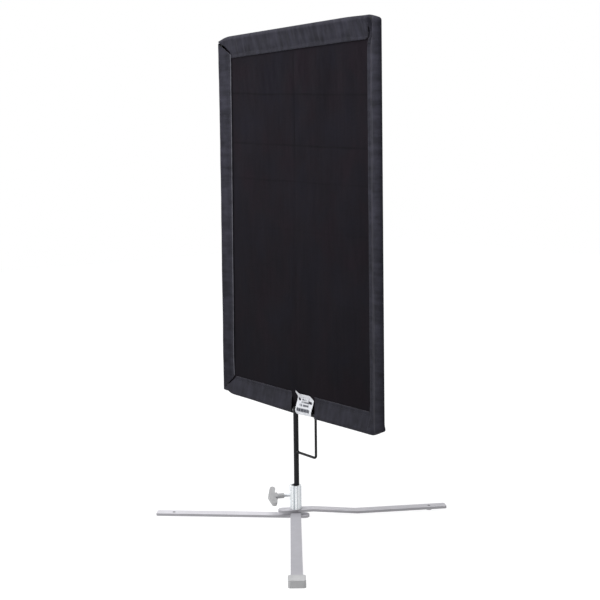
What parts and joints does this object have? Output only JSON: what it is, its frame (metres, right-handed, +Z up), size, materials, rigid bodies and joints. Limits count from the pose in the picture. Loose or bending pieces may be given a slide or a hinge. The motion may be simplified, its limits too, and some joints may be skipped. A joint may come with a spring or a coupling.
{
  "type": "lighting flag on a folding floor stand",
  "caption": "Black cloth lighting flag on a steel rod frame with a mounting pin and brace, held by a thumb screw in a low folding floor stand.",
  "frame": {"origin": "on the floor, straight below the flag's pin", "axes": "+Z up along the pin, X along the flag's width, -Y the side the hems face"},
  "size_m": [0.6588, 0.6144, 1.176],
  "materials": {
    "leg_metal": "pale grey satin plating",
    "socket_metal": "bright machined bar",
    "fastener_steel": "bright zinc",
    "cap_rubber": "matt grey rubber",
    "knob_plastic": "matt grey moulding",
    "pad_brass": "turned",
    "black_steel": "black enamel on steel rod",
    "flag_cloth": "napped black cotton",
    "hem_cloth": "black cotton, smooth side out",
    "label_cloth": "white woven tape"
  },
  "bodies": {
    "base": {"front_leg": "leg_metal", "front_foot_cap": "cap_rubber", "centre_bolt": "fastener_steel", "lock_nut": "fastener_steel", "leg_washers": "fastener_steel", "socket_washer": "fastener_steel"},
    "left_leg": {"left_leg": "leg_metal", "left_leg_glide": "cap_rubber"},
    "right_leg": {"right_leg": "leg_metal", "right_leg_glide": "cap_rubber"},
    "socket": {"socket_collar": "socket_metal"},
    "clamp_pad": {"pressure_pad": "pad_brass"},
    "thumb_screw": {"thumb_knob": "knob_plastic", "thumb_stud": "fastener_steel"},
    "flag": {"mount_pin": "black_steel", "brace_loop": "black_steel", "weld_beads": "black_steel", "frame_left_rod": "black_steel", "frame_right_rod": "black_steel", "frame_top_rod": "black_steel", "frame_bottom_left_rod": "black_steel", "frame_bottom_right_rod": "black_steel", "frame_corner_bends": "black_steel", "cover_panel": "flag_cloth", "hem_left": "hem_cloth", "hem_right": "hem_cloth", "hem_top": "hem_cloth", "hem_bottom_left": "hem_cloth", "hem_bottom_right": "hem_cloth", "sewn_label": "label_cloth"}
  },
  "joints": [
    {"name": "left_leg_fold", "type": "hinge", "parent": "base", "child": "left_leg", "pos_m": [-0.00149, -0.00306, 0.0048], "axis": [0, 0, 1], "range_deg": [0, 92]},
    {"name": "right_leg_fold", "type": "hinge", "parent": "base", "child": "right_leg", "pos_m": [-0.00149, -0.00306, 0.0184], "axis": [0, 0, 1], "range_deg": [-60, 0]},
    {"name": "socket_swivel", "type": "hinge", "parent": "base", "child": "socket", "pos_m": [-0.00149, -0.00306, 0.03], "axis": [0, 0, 1], "continuous": true},
    {"name": "flag_lift", "type": "slide", "parent": "socket", "child": "flag", "axis": [0, 0, 1], "range_m": [0, 0.039]},
    {"name": "clamp_travel", "type": "slide", "parent": "socket", "child": "clamp_pad", "axis": [-0.4384, -0.8988, 0], "range_m": [0, 0.0038]},
    {"name": "thumb_screw_turn", "type": "hinge", "parent": "clamp_pad", "child": "thumb_screw", "pos_m": [-0.00149, -0.00306, 0.0565], "axis": [-0.4384, -0.8988, 0], "range_deg": [0, 1080]}
  ],
  "couplings": [
    {"joint": "clamp_travel", "follows": "thumb_screw_turn", "m_per_rad": 0.00019894}
  ]
}
